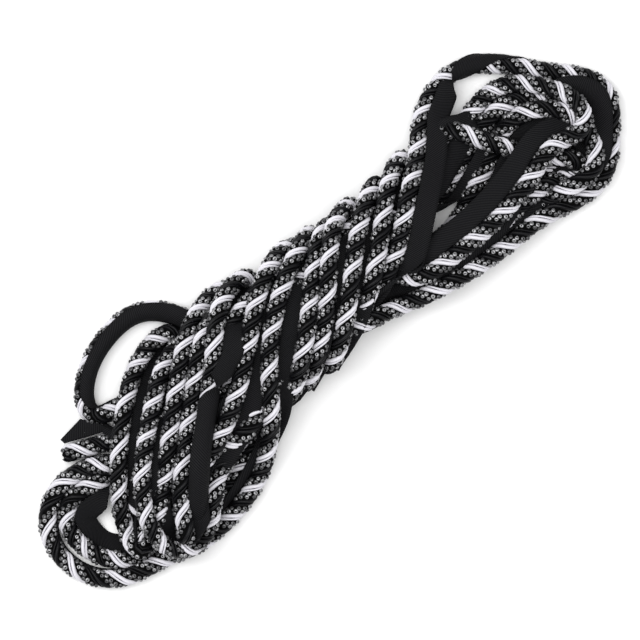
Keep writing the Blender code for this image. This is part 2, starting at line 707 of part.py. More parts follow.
def coat(obj):
    color, roughness, metallic = COATS[obj.name]
    material = bpy.data.materials.new(obj.name)
    material.use_nodes = True
    shader = material.node_tree.nodes["Principled BSDF"]
    shader.inputs["Base Color"].default_value = (*color, 1.0)
    shader.inputs["Roughness"].default_value = roughness
    shader.inputs["Metallic"].default_value = metallic
    obj.data.materials.clear()
    obj.data.materials.append(material)


def shade(obj, angle):
    obj.data.shade_smooth()
    obj.data.set_sharp_from_angle(angle=math.radians(angle))


def main():
    clear_scene()
    parts = new_collection("braided_cord_trim")
    cutters = new_collection("cutters")
    route = cord_route()
    print("route length", round(arc_lengths(route)[-1], 1))

    floor = under_floor(cutters)
    cord_room = tube("cord_room", stretch(route, 0.0, LOOSE_LENGTH + PIECE_GAP, 2.0),
                     0.5 * CORD_DIAMETER + PIECE_GAP + 0.25, cutters)
    as_cutter(cord_room)
    tape_room = plate("tape_room", LOOSE_TAPE, TAPE_THICKNESS + 2 * PIECE_GAP + 0.2, PIECE_GAP + 0.2, cutters)
    as_cutter(tape_room)

    hank = build_hank(route, [cord_room, tape_room, floor], parts)
    loose_cord = build_loose_cord(route, floor, parts)
    loose_tape = plate("loose_end_tape", LOOSE_TAPE, TAPE_THICKNESS, 0.0, parts)
    for piece in (hank, loose_cord, loose_tape):
        coat(piece)
    shade(hank, 75)
    shade(loose_cord, 60)
    shade(loose_tape, 30)

    for item in parts.objects:
        low = [min(v.co[k] for v in item.data.vertices) / MM for k in range(3)]
        high = [max(v.co[k] for v in item.data.vertices) / MM for k in range(3)]
        print(item.name, triangle_count(item), [round(v, 1) for v in low], [round(v, 1) for v in high])


main()
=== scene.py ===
"""Braided cord trim: a twisted lip cord and its sewn-on tape, dressed over the solids of its hank.

Lengths are millimetres until a mesh is made. X runs along the hank and Z is up.
"""
import math

import bpy
import numpy as np
from mathutils import Matrix, Vector


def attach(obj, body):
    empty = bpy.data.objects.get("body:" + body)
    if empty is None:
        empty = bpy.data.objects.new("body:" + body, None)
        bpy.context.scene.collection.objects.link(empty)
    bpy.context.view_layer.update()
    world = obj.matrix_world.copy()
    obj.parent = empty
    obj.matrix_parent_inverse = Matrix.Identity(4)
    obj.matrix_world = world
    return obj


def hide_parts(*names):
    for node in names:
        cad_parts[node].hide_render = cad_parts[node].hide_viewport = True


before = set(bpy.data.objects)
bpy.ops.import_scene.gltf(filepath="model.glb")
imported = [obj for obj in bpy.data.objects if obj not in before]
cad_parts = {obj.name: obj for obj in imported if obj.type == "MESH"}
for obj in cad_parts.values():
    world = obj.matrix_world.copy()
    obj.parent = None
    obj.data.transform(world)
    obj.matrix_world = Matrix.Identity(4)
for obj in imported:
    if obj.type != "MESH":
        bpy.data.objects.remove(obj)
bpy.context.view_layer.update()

MM = 0.001

# real sizes of the trim
CORD_DIAMETER = 8.0
PLY_PITCH = 19.0
PLY_CENTRE = 2.45
LOOSE_LENGTH = 21.0

# how the plan was read: pixels of a view from straight above
MM_PER_PIXEL = 0.42
VIEW_SIZE = 640
VIEW_MIDDLE = (320.0, 320.0)
VIEW_TURN = 38.0
MIDDLE_SHIFT = (2.28, 3.74)
LAYER_HEIGHT = 8.0

# laying the passes on each other: the cord sinks a little in each round, at first fast
# and then slowly, and a share of each fault is put right
LAY_STEP = 4.0
LAY_GAP = 7.8
LAY_ROUNDS = 1500
FAST_PART = 0.7
FAST_SINK = 0.25
SLOW_SINK = 0.06
BEND_SHARE = 0.35
LENGTH_SHARE = 0.25
PUSH_SHARE = 0.3
SMALLEST_GAP = 0.3
SEARCH_EVERY = 4
SEARCH_PAST = 4.0
NEIGHBOUR_STEPS = 4
SEEN_HOLD = 0.48
HIDDEN_HOLD = 0.03

# columns of a line after its x, y and z: turn of the tape, how far the run shows, how
# far the tape is pressed round the cord, and the number of the run
TURN, HOLD, PRESS, RUN = 3, 4, 5, 6
ROUGH_SPANS = 24
FINE_SPANS = 4

# section of the tape about the cord for the turns of the cord, as the angle and the
# radius of four points from its sewn edge to its free edge
TAPE_LAYS = (
    (0, ((-60, 3.7), (-34, 6.4), (-24, 8.8), (-18, 11.4))),
    (30, ((20, 4.0), (9, 6.8), (4, 9.7), (2, 12.8))),
    (60, ((95, 4.4), (58, 5.3), (30, 7.2), (12, 9.6))),
    (90, ((0, 4.2), (48, 4.6), (92, 4.7), (138, 5.0))),
    (120, ((85, 4.4), (122, 5.3), (150, 7.2), (168, 9.6))),
    (150, ((160, 4.0), (171, 6.8), (176, 9.7), (178, 12.8))),
    (180, ((240, 3.7), (214, 6.4), (204, 8.8), (198, 11.4))),
    (270, ((180, 4.2), (228, 4.6), (272, 4.7), (318, 5.0))),
    (360, ((300, 3.7), (326, 6.4), (336, 8.8), (342, 11.4))),
)
# the same of a tape that is pressed round the cord, from the middle of its side
TAPE_PRESSED = ((-90, 4.1), (-42, 4.4), (2, 4.4), (48, 4.6))
TAPE_WIDTH = 10.5
TAPE_THICKNESS = 0.8
TAPE_POINTS = 7
TAPE_STEP = 2.0
TAPE_OVERLAP = 2.0
# slack waves along the free edge: height, length and start
TAPE_WAVES = ((0.35, 7.3, 0.0), (0.25, 3.1, 1.0))
FLOOR_GAP = 0.05

# middle line of the straight core, and the direction across it, in pixels
CORE_LINE = (
    (150, 490), (181, 453), (216, 408), (250, 359), (286, 320), (324, 281), (370, 255), (411, 232),
)
CORE_ACROSS = (0.623, 0.783)

# the one cord from its loose end to its hidden end, run by run
# a seen run has rows of x and y in pixels, the layer it lies in, and the turn of the
# tape about the cord in degrees: 0 is to the right of the way the cord runs, 90 is up
# and 180 is to the left; in a pressed run the tape is also pressed round the cord
# a hidden run has no turns: there the tape is pressed and takes the shortest way round
# a core run has its offset across the core line in pixels, its layer, and the first
# and the last point of the core line that it passes
RUNS = (
    ("loose end", "seen", (
        (61, 456, 0.1, 165), (80, 450, 0.1, 165), (100, 444, 0.3, 165), (116, 441, 0.8, 170),
    )),
    ("core run 1", "core", (-19, 1, 1, 7)),
    ("crossing cord", "hidden", (
        (405, 205, 0.4), (411, 172, 0.4), (418, 146, 0.6), (430, 130, 1.2),
    )),
    ("crossing cord", "seen", (
        (446, 127, 2.0, 165), (461, 132, 2.6, 180), (477, 138, 2.8, 220), (495, 144, 2.7, 260),
        (515, 149, 2.2, 270), (535, 154, 1.4, 270),
    )),
    ("crossing cord, return", "seen", (
        (552, 157, 1.2, 270), (572, 156, 1.2, 280), (586, 163, 1.2, 330), (584, 176, 1.0, 350),
        (566, 178, 1.0, 360), (546, 184, 1.0, 390), (522, 203, 0.8, 440), (498, 228, 0.7, 450),
        (462, 256, 0.8, 450), (432, 277, 0.9, 450),
    )),
    ("core run 2", "core", (19, 1, 6, 1)),
    ("inner loop, lower left", "seen", (
        (178, 524, 0.6, 0), (160, 545, 0.4, 0), (140, 558, 0.3, 0), (117, 563, 0.3, 0),
        (94, 556, 0.2, 0), (76, 543, 0.1, 20), (64, 527, 0.1, 30), (63, 509, 0.1, 30),
        (73, 494, 0.1, 30), (91, 484, 0.2, 30), (110, 475, 0.4, 20),
    )),
    ("core run 3", "core", (-38, 1, 1, 7)),
    ("third loop", "seen", (
        (432, 205, 0.8, 25), (452, 175, 0.8, 25), (470, 148, 0.7, 40), (484, 124, 0.8, 30),
        (495, 108, 1.2, 10), (512, 99, 1.3, 0), (532, 98, 1.0, 0), (555, 105, 0.7, 0),
        (572, 118, 0.6, 0), (577, 135, 0.5, 0), (567, 150, 0.5, 0), (545, 170, 0.4, 30),
        (520, 196, 0.2, 90), (490, 226, 0.2, 90), (455, 255, 0.4, 90), (425, 270, 0.6, 40),
    )),
    ("core run 4", "core", (0, 1, 6, 2)),
    ("thin single loop", "hidden", (
        (215, 385, 1.2), (203, 352, 1.4), (190, 330, 1.0),
    )),
    ("thin single loop", "pressed", (
        (172, 313, 0.6, 130), (150, 308, 0.4, 138), (128, 314, 0.3, 145), (109, 331, 0.2, 150),
        (94, 351, 0.1, 154), (84, 374, 0.1, 156), (81, 398, 0.2, 165), (86, 416, 0.5, 215),
        (98, 420, 0.8, 260), (111, 411, 1.2, 270), (126, 403, 1.6, 270),
    )),
    ("core run 5, start", "hidden", (
        (150, 410, 2.0),
    )),
    ("core run 5", "core", (-38, 2, 2, 6)),
    ("second loop", "seen", (
        (402, 215, 1.6, 60), (420, 190, 1.4, 60), (437, 161, 1.0, 60), (453, 138, 0.8, 60),
        (467, 119, 1.0, 30), (480, 103, 1.4, 10), (494, 89, 2.0, 0), (512, 81, 2.4, 0),
        (532, 83, 2.6, 0), (552, 87, 2.8, -10), (570, 95, 2.8, -10), (583, 108, 2.6, -20),
        (588, 122, 2.4, -20), (580, 134, 2.3, -10), (564, 138, 2.4, 0), (550, 147, 2.5, 15),
        (534, 174, 2.5, 28), (507, 209, 2.5, 30), (478, 237, 2.4, 30), (448, 260, 2.2, 30),
        (420, 280, 2.0, 20),
    )),
    ("core run 6", "core", (19, 2, 6, 3)),
    ("short turn and wrap B", "hidden", (
        (236, 440, 1.8), (222, 458, 2.0),
    )),
    ("short turn and wrap B", "seen", (
        (214, 483, 2.3, 0), (213, 505, 2.4, 0), (209, 526, 2.2, 0), (198, 543, 2.0, 0),
        (183, 553, 2.0, 0), (167, 550, 2.2, 0), (155, 536, 2.4, 0), (146, 515, 2.6, 0),
        (142, 490, 2.6, 10), (143, 460, 2.6, 10), (147, 435, 2.4, 10), (153, 403, 2.6, 0),
        (163, 368, 2.6, 0), (174, 347, 2.2, 0),
    )),
    ("core run 7, start", "hidden", (
        (190, 340, 1.8), (215, 345, 1.8), (245, 345, 2.0),
    )),
    ("core run 7", "core", (-19, 2, 4, 6)),
    ("fourth loop", "hidden", (
        (400, 258, 1.7),
    )),
    ("fourth loop", "seen", (
        (422, 249, 1.5, 20), (442, 238, 1.3, 25), (458, 221, 1.2, 30), (469, 200, 1.1, 30),
        (481, 178, 1.0, 30), (490, 159, 1.0, 30), (499, 138, 1.2, 30), (508, 122, 1.6, 20),
        (524, 111, 1.8, 10), (545, 107, 1.5, 0), (566, 110, 1.2, 0), (583, 123, 0.9, 0),
        (595, 143, 0.9, 0), (598, 164, 1.2, 0), (586, 180, 1.6, 0), (566, 187, 1.8, 0),
        (542, 200, 1.5, 60), (515, 225, 1.3, 90), (485, 252, 1.2, 90), (455, 275, 1.2, 90),
        (425, 292, 1.2, 90),
    )),
    ("core run 8", "core", (37, 1, 6, 1)),
    ("hidden turn", "hidden", (
        (165, 510, 0.8), (146, 520, 0.8), (130, 510, 0.9), (128, 490, 1.0), (142, 470, 1.2),
    )),
    ("core run 9", "core", (0, 2, 1, 5)),
    ("outer loop", "hidden", (
        (368, 296, 2.2),
    )),
    ("outer loop", "seen", (
        (384, 278, 2.8, 15), (396, 254, 3.2, 25), (404, 217, 3.3, 30), (412, 180, 3.4, 30),
        (418, 147, 3.3, 30), (421, 119, 3.0, 45), (429, 97, 2.6, 48), (442, 79, 2.2, 60),
    )),
    ("outer loop", "pressed", (
        (460, 66, 2.0, 85), (480, 63, 2.0, 140), (500, 64, 2.1, 215), (522, 67, 2.2, 275),
        (538, 69, 2.2, 345),
    )),
    ("outer loop", "seen", (
        (551, 71, 2.2, 395), (572, 72, 2.2, 415), (592, 77, 2.0, 420), (609, 88, 1.8, 420),
        (613, 109, 1.6, 420), (613, 132, 1.6, 420), (612, 156, 1.7, 420), (605, 177, 1.8, 405),
        (590, 193, 1.9, 385), (566, 205, 1.9, 385), (540, 218, 1.8, 388), (510, 243, 1.7, 390),
        (480, 265, 1.6, 390), (450, 282, 1.6, 390), (420, 298, 1.6, 385), (396, 308, 1.5, 340),
        (377, 316, 1.3, 290),
    )),
    ("core run 10", "core", (36, 2, 4, 2)),
    ("outer loop, lower left, and wrap G", "hidden", (
        (175, 470, 1.2), (145, 464, 1.1),
    )),
    ("outer loop, lower left, and wrap G", "seen", (
        (118, 463, 1.2, 270), (95, 465, 1.2, 270), (72, 476, 1.2, 270), (54, 494, 1.1, 270),
        (46, 518, 0.8, 270), (48, 541, 0.5, 260), (61, 560, 0.4, 250), (81, 575, 0.3, 250),
        (105, 581, 0.3, 250), (129, 577, 0.3, 250), (150, 562, 0.3, 220), (175, 552, 0.5, 190),
        (200, 541, 0.8, 180), (222, 526, 1.1, 180), (240, 507, 1.6, 180), (256, 484, 2.0, 190),
        (266, 458, 2.4, 250), (270, 435, 2.7, 295), (271, 410, 3.0, 335), (269, 370, 3.3, 365),
        (272, 329, 3.4, 375), (281, 292, 3.4, 370), (292, 262, 3.1, 360), (303, 242, 2.4, 340),
        (312, 233, 1.4, 340),
    )),
    ("under, G to H", "hidden", (
        (310, 246, 0.3), (300, 290, 0), (292, 340, 0), (283, 380, 0),
    )),
    ("wrap H", "seen", (
        (284, 398, 0.9, 270), (293, 390, 2.2, 300), (304, 352, 3.2, 360), (311, 303, 3.4, 370),
        (314, 266, 3.2, 360), (321, 237, 2.6, 340), (331, 224, 1.5, 340),
    )),
    ("under, H to I", "hidden", (
        (330, 240, 0.3), (320, 280, 0), (312, 330, 0), (303, 372, 0),
    )),
    ("wrap I", "seen", (
        (303, 386, 0.9, 270), (312, 374, 2.2, 290), (320, 342, 3.1, 350), (327, 298, 3.5, 370),
        (329, 255, 3.5, 365), (334, 222, 3.0, 350), (346, 207, 2.0, 340), (356, 204, 1.1, 340),
    )),
    ("under, I to J", "hidden", (
        (352, 220, 0.3), (342, 262, 0), (332, 310, 0), (325, 350, 0),
    )),
    ("wrap J", "seen", (
        (326, 370, 0.9, 270), (336, 355, 1.9, 285), (344, 330, 2.8, 330), (349, 300, 3.3, 360),
        (353, 265, 3.5, 360), (359, 227, 3.3, 355), (368, 195, 2.6, 345), (378, 181, 1.5, 340),
    )),
    ("under, J to K", "hidden", (
        (376, 197, 0.3), (366, 240, 0), (356, 285, 0), (348, 316, 0),
    )),
    ("wrap K", "seen", (
        (350, 328, 0.9, 270), (362, 310, 2.0, 285), (371, 288, 2.8, 330), (377, 262, 3.2, 345),
        (383, 216, 3.4, 345), (389, 180, 3.0, 345), (398, 160, 2.0, 350), (408, 156, 1.1, 340),
    )),
    ("under, K to F", "hidden", (
        (404, 175, 0.3), (380, 230, 0), (340, 290, 0), (295, 345, 0), (250, 400, 0),
        (215, 445, 0), (190, 485, 0.5),
    )),
    ("wrap F", "seen", (
        (183, 489, 1.2, 360), (186, 476, 2.0, 360), (200, 466, 2.5, 360), (213, 450, 2.9, 360),
        (224, 430, 3.0, 365), (237, 394, 3.2, 370), (248, 348, 3.4, 370), (256, 303, 3.4, 370),
        (267, 270, 3.1, 355), (281, 252, 2.2, 340), (291, 246, 1.2, 340),
    )),
    ("under, F to E", "hidden", (
        (290, 260, 0.3), (275, 310, 0), (260, 370, 0), (242, 430, 0), (215, 490, 0),
        (198, 530, 0),
    )),
    ("wrap E", "seen", (
        (188, 542, 0.6, 430), (194, 522, 1.8, 450), (198, 480, 2.6, 450), (203, 435, 2.9, 450),
        (209, 398, 3.1, 450), (212, 370, 3.3, 420), (214, 346, 3.4, 385),
        (220, 304, 3.3, 365), (234, 283, 2.6, 345), (248, 276, 1.6, 340),
    )),
    ("under, E to D", "hidden", (
        (258, 288, 0.5), (245, 340, 0), (228, 400, 0), (205, 460, 0), (190, 510, 0),
    )),
    ("wrap D", "seen", (
        (186, 542, 0.7, 350), (186, 525, 1.8, 360), (181, 505, 2.6, 370), (184, 465, 3.1, 370),
        (189, 420, 3.2, 370), (195, 382, 3.0, 370), (201, 350, 2.6, 365), (208, 325, 1.9, 360),
    )),
    ("under, D to C", "hidden", (
        (222, 305, 1.1), (232, 300, 0.5), (225, 340, 0), (208, 400, 0), (180, 460, 0),
        (162, 510, 0),
    )),
    ("wrap C", "seen", (
        (152, 532, 0.8, 350), (158, 515, 1.9, 355), (165, 480, 2.8, 365), (170, 435, 3.2, 370),
        (177, 390, 3.4, 370), (184, 347, 3.4, 370), (194, 318, 3.2, 360), (208, 299, 2.6, 345),
        (226, 288, 1.6, 340),
    )),
    ("under, C to A", "hidden", (
        (235, 298, 0.4), (215, 340, 0), (190, 400, 0), (160, 460, 0), (142, 520, 0),
    )),
    ("wrap A", "seen", (
        (146, 556, 0.5, 350), (134, 548, 1.4, 360), (126, 530, 2.2, 370), (119, 495, 2.6, 375),
        (119, 450, 2.7, 375), (125, 402, 2.8, 375), (137, 363, 2.7, 370), (152, 341, 2.2, 355),
        (167, 331, 1.5, 340), (182, 330, 0.9, 340),
    )),
    ("hidden end", "hidden", (
        (195, 345, 0.3), (185, 385, 0), (170, 430, 0),
    )),
)

# plan outline of the loose end's tape: x, y, and the height of its middle
LOOSE_TAPE = (
    (-119.7, 23.9, 4.7), (-107.6, 25.7, 5.4), (-102.3, 18.8, 5.0), (-100.7, 15.4, 4.8),
    (-101.5, 14.6, 4.6), (-109.5, 17.6, 4.5), (-117.6, 20.9, 4.5), (-119.3, 21.4, 4.5),
)

# section of that tape from its upper middle round its edge: share of the outline, and
# height in half thicknesses
LOOSE_PROFILE = (
    (0.02, 1), (0.5, 1), (0.93, 1), (1.0, 0.5), (1.0, -0.5), (0.93, -1), (0.5, -1), (0.02, -1),
)

# where the white ply comes to the top on each run, in pixels
WHITE_MARKS = (
    ("loose end", ((80, 445),)),
    ("crossing cord", ((472, 139), (510, 145))),
    ("inner loop, lower left", ((115, 557), (93, 547), (58, 520))),
    ("third loop", ((500, 104),)),
    ("second loop", ((470, 107), (492, 84), (527, 85), (565, 92), (588, 118), (556, 142), (532, 176),
                     (505, 211), (478, 238), (445, 262))),
    ("short turn and wrap B", ((213, 483), (210, 525), (184, 553), (158, 545), (143, 515), (142, 473),
                               (153, 403), (164, 366))),
    ("fourth loop", ((463, 217), (480, 178), (528, 110), (603, 152), (565, 187))),
    ("outer loop", ((395, 257), (404, 217), (412, 178), (415, 148), (420, 110), (430, 85), (611, 95),
                    (618, 112), (619, 155), (590, 197), (540, 218), (508, 248), (480, 272))),
    ("outer loop, lower left, and wrap G", ((100, 460), (65, 483), (45, 530), (75, 562), (120, 577),
                                            (232, 520), (255, 490), (268, 455), (270, 412), (268, 370),
                                            (272, 328), (283, 290), (297, 253), (310, 228))),
    ("wrap H", ((297, 390), (305, 350), (311, 303), (313, 267))),
    ("wrap I", ((320, 342), (327, 297), (328, 255), (330, 220), (343, 203))),
    ("wrap J", ((335, 357), (346, 315), (352, 268), (357, 228), (369, 193))),
    ("wrap K", ((368, 303), (375, 262), (382, 215), (388, 178), (397, 153))),
    ("wrap F", ((200, 467), (222, 433), (237, 393), (249, 345), (256, 300), (270, 264), (290, 241))),
    ("wrap E", ((213, 345), (222, 302), (245, 278))),
    ("wrap D", ((180, 512), (184, 465), (189, 420), (195, 378))),
    ("wrap C", ((158, 515), (165, 480), (170, 435), (177, 388), (184, 344), (200, 310), (225, 283))),
    ("wrap A", ((127, 538), (118, 490), (119, 448), (125, 400), (138, 361), (155, 337))),
)

# how marks are used: the least distance between two, the stretch over which their
# turns are blended, and how far a run may reach into its neighbours
MARK_SPACING = 0.6 * PLY_PITCH
BLEND_LENGTH = 8.0
RUN_MARGIN = 0.6

# yarns of a satin ply: offset across, offset outward, half width, half height
SATIN_YARNS = ((-0.50, 0.2, 0.82, 1.25), (0.92, 0.25, 0.42, 0.95))
STRAND_STEP = 1.2
YARN_SIDES = 10
# the dark core reaches out past the middles of the satin yarns, so its near-black shows in the gap
# between the two yarns of a ply as a dark line: painted shade in that groove
CORE_RADIUS = 3.0
CORE_SIDES = 6
BEAD_PLY_RADIUS = 1.2
# size of the last two rings at each end of a tube
TUBE_ENDS = (0.08, 0.75)

# rows of beads on a metallic ply: angle from its outward side, radius of the bead
BEAD_ROWS = ((38.0, 0.98), (-38.0, 0.98))
BEAD_SPACING = 2.4
# section of a bead from its dark middle out: share of its radius, height
BEAD_PROFILE = ((0.36, 0.15), (0.62, 0.6), (1.0, -0.2))
BEAD_SEGMENTS = 8
BEAD_SEED = 11
FIRST_BEAD = 1.5
LAST_BEAD = 1.0
# how much beads vary: shift along the ply, tilt in degrees, size
BEAD_SHIFT = 0.15
BEAD_TILT = 6
BEAD_SIZES = (0.92, 1.06)
LOWEST_BEAD = 0.2
BURIED_DEPTH = 4.5

# name, colour, roughness, metallic and specular value of each finish
FINISHES = {
    "white": ("white_satin", (0.68, 0.67, 0.71), 0.45, 0.0, 0.35),
    "black": ("black_satin", (0.004, 0.004, 0.005), 0.35, 0.0, 0.16),
    # near-black of the cord's own dark core and of the black cord under the beads; where the core shows
    # between the satin yarns it is painted shade in their groove
    "core": ("dark_core_and_groove_shade", (0.002, 0.002, 0.002), 0.9, 0.0, 0.05),
    "bead_hole": ("bead_hole", (0.003, 0.003, 0.003), 0.8, 0.0, 0.1),
    "bead_light": ("bead_light", (0.33, 0.33, 0.34), 0.4, 0.7, 0.5),
    "bead_grey": ("bead_grey", (0.12, 0.12, 0.125), 0.4, 0.7, 0.5),
    "tape": ("black_twill", (0.006, 0.006, 0.007), 0.8, 0.0, 0.1),
    "floor": ("pale_floor", (0.92, 0.92, 0.92), 0.9, 0.0, 0.1),
}
# fine lines of a finish: direction in degrees, scale, strength and depth of the bump,
# and its darkest and lightest tone
LINES = {
    "white": (12, 0.75, 0.3, 0.0001, (0.58, 0.57, 0.62), (0.75, 0.74, 0.78)),
    "black": (12, 0.75, 0.35, 0.0001, (0.002, 0.002, 0.003), (0.006, 0.006, 0.007)),
    "tape": (38, 0.4, 0.7, 0.0003, (0.002, 0.002, 0.003), (0.014, 0.014, 0.015)),
}

# studio, in metres: name, place, width and power of each lamp
LAMPS = (
    ("overhead", (0.0, 0.0, 4.2), 3.2, 95.0),
    ("key", (-0.35, 0.55, 0.9), 0.6, 6.0),
    ("fill", (0.7, -0.5, 0.8), 0.9, 2.0),
)
WORLD_LIGHT = 0.55
FLOOR_REACH = 4
CAMERA_DISTANCE = 3.0
CAMERA_SENSOR = 36.0
HANK_MIDDLE_HEIGHT = 0.018


def control_rows():
    """x, y, z, tape turn, hold, press and run number of every point of the runs."""
    rows = []
    for number, (_name, kind, points) in enumerate(RUNS):
        if kind == "core":
            offset, layer, first, last = points
            way = 1 if last >= first else -1
            for k in range(first, last + way, way):
                px = CORE_LINE[k][0] + CORE_ACROSS[0] * offset
                py = CORE_LINE[k][1] + CORE_ACROSS[1] * offset
                rows.append((px, py, layer, math.nan, 0.0, 1.0, number))
        elif kind == "hidden":
            rows.extend(row + (math.nan, 0.0, 1.0, number) for row in points)
        else:
            press = 1.0 if kind == "pressed" else 0.0
            rows.extend(row + (1.0, press, number) for row in points)
    table = np.array(rows, dtype=float)
    given = np.nonzero(~np.isnan(table[:, TURN]))[0]
    away = np.abs(np.arange(len(table))[:, None] - given[None, :])
    table[:, TURN] = table[given[np.argmin(away, axis=1)], TURN]
    hidden = table[:, HOLD] == 0
    table[1:, PRESS] = np.maximum(table[1:, PRESS], hidden[:-1])
    table[:-1, PRESS] = np.maximum(table[:-1, PRESS], hidden[1:])
    table[:, 0] = (table[:, 0] - VIEW_MIDDLE[0]) * MM_PER_PIXEL
    table[:, 1] = (VIEW_MIDDLE[1] - table[:, 1]) * MM_PER_PIXEL
    table[:, 2] = 0.5 * CORD_DIAMETER + LAYER_HEIGHT * table[:, 2]
    return table


def smooth_curve(rows, per_span):
    """Points of a centripetal curve through the rows, with the other columns blended."""
    ends = np.vstack([2 * rows[0] - rows[1], rows, 2 * rows[-1] - rows[-2]])
    parts = []
    for i in range(1, len(ends) - 2):
        p0, p1, p2, p3 = ends[i - 1:i + 3, :3]
        t0 = 0.0
        t1 = t0 + max(np.linalg.norm(p1 - p0), 0.001) ** 0.5
        t2 = t1 + max(np.linalg.norm(p2 - p1), 0.001) ** 0.5
        t3 = t2 + max(np.linalg.norm(p3 - p2), 0.001) ** 0.5
        t = np.linspace(t1, t2, per_span, endpoint=False)[:, None]
        a1 = (t1 - t) / (t1 - t0) * p0 + (t - t0) / (t1 - t0) * p1
        a2 = (t2 - t) / (t2 - t1) * p1 + (t - t1) / (t2 - t1) * p2
        a3 = (t3 - t) / (t3 - t2) * p2 + (t - t2) / (t3 - t2) * p3
        b1 = (t2 - t) / (t2 - t0) * a1 + (t - t0) / (t2 - t0) * a2
        b2 = (t3 - t) / (t3 - t1) * a2 + (t - t1) / (t3 - t1) * a3
        place = (t2 - t) / (t2 - t1) * b1 + (t - t1) / (t2 - t1) * b2
        share = np.linspace(0.0, 1.0, per_span, endpoint=False)[:, None]
        other = (1 - share) * ends[i, 3:] + share * ends[i + 1, 3:]
        parts.append(np.hstack([place, other]))
    parts.append(rows[-1:])
    return np.vstack(parts)


def arc_lengths(points):
    steps = np.linalg.norm(np.diff(points[:, :3], axis=0), axis=1)
    return np.concatenate([[0.0], np.cumsum(steps)])


def stretch(curve, start, end, step):
    """The curve between two distances along it, at even steps."""
    s = arc_lengths(curve)
    end = min(end, s[-1])
    count = max(int(round((end - start) / step)), 2)
    at = np.linspace(start, end, count + 1)
    return np.column_stack([np.interp(at, s, curve[:, k]) for k in range(curve.shape[1])])


def lay_passes(rows):
    """Let the cord down on itself: passes push each other apart, seen runs stay near their plan."""
    dense = smooth_curve(rows, ROUGH_SPANS)
    line = stretch(dense, 0.0, math.inf, LAY_STEP)
    place = line[:, :3].copy()
    plan = line[:, :2].copy()
    hold = (HIDDEN_HOLD + (SEEN_HOLD - HIDDEN_HOLD) * np.clip(line[:, HOLD], 0, 1))[:, None]
    low = 0.5 * CORD_DIAMETER
    first, second = np.triu_indices(len(place), NEIGHBOUR_STEPS)
    near_one = first[:0]
    near_two = second[:0]
    for k in range(LAY_ROUNDS):
        place[:, 2] -= FAST_SINK if k < FAST_PART * LAY_ROUNDS else SLOW_SINK
        fair = place.copy()
        fair[2:-2] = (4 * place[1:-3] + 4 * place[3:-1] - place[:-4] - place[4:]) / 6.0
        place += BEND_SHARE * (fair - place)
        for _ in range(2):
            gap = place[1:] - place[:-1]
            size = np.linalg.norm(gap, axis=1, keepdims=True)
            move = gap * (size - LAY_STEP) / size * LENGTH_SHARE
            place[:-1] += move
            place[1:] -= move
        place[:, :2] += hold * (plan - place[:, :2])
        if k % SEARCH_EVERY == 0:
            reach = LAY_GAP + SEARCH_PAST
            close = np.abs(place[first, 0] - place[second, 0]) < reach
            close &= np.abs(place[first, 1] - place[second, 1]) < reach
            close &= np.abs(place[first, 2] - place[second, 2]) < reach
            near_one = first[close]
            near_two = second[close]
        apart = place[near_two] - place[near_one]
        size = np.linalg.norm(apart, axis=1)
        hit = (size < LAY_GAP) & (np.abs(near_two - near_one) > NEIGHBOUR_STEPS)
        one = near_one[hit]
        two = near_two[hit]
        size = np.maximum(size[hit], SMALLEST_GAP)
        push = apart[hit] / size[:, None] * ((LAY_GAP - size) * PUSH_SHARE)[:, None]
        total = np.zeros_like(place)
        count = np.zeros(len(place))
        np.add.at(total, one, -push)
        np.add.at(total, two, push)
        np.add.at(count, one, 1)
        np.add.at(count, two, 1)
        place += total / np.sqrt(np.maximum(count, 1))[:, None]
        place[:, 2] = np.maximum(place[:, 2], low)
    for _ in range(3):
        place[1:-1] = 0.25 * place[:-2] + 0.5 * place[1:-1] + 0.25 * place[2:]
    return np.column_stack([place, line[:, 3:]])


def to_model(points):
    """Plan positions about the view's middle, turned so that the hank lies along X."""
    a = math.radians(VIEW_TURN)
    x = points[:, 0] * math.cos(a) + points[:, 1] * math.sin(a) - MIDDLE_SHIFT[0]
    y = points[:, 1] * math.cos(a) - points[:, 0] * math.sin(a) - MIDDLE_SHIFT[1]
    return np.column_stack([x, y, points[:, 2:]])


def pixel_to_model(px, py):
    x = (px - VIEW_MIDDLE[0]) * MM_PER_PIXEL
    y = (VIEW_MIDDLE[1] - py) * MM_PER_PIXEL
    return to_model(np.array([[x, y, 0.0]]))[0, :2]


def unit(vectors):
    return vectors / np.linalg.norm(vectors, axis=-1, keepdims=True)


def carried_frame(points):
    """Unit side and up vectors carried along a stretch without twist, and its tangent."""
    tangent = unit(np.gradient(points[:, :3], axis=0))
    side = unit(np.cross(tangent, (0.0, 0.0, 1.0)))
    for i in range(1, len(side)):
        side[i] = side[i - 1] - tangent[i] * float(side[i - 1] @ tangent[i])
        side[i] /= np.linalg.norm(side[i])
    return side, np.cross(side, tangent), tangent


def level_frame(tangent):
    """Unit vectors to the right of the way the cord runs, and up."""
    right = unit(np.cross(tangent, (0.0, 0.0, 1.0)) + 1e-9)
    return right, np.cross(right, tangent)


def lean_angle(side, up, right):
    """Angle of the level right-hand direction in the carried frame."""
    return np.arctan2(np.sum(right * up, axis=1), np.sum(right * side, axis=1))


def free_section(turn):
    """Angles and radii across the tape for one turn of the cord, from the table of lays."""
    part = turn - math.floor(turn / 360.0) * 360.0
    for (low, first), (high, second) in zip(TAPE_LAYS[:-1], TAPE_LAYS[1:]):
        if part <= high:
            break
    f = (part - low) / (high - low)
    return [(math.radians(a + f * (c - a)), b + f * (d - b))
            for (a, b), (c, d) in zip(first, second)]


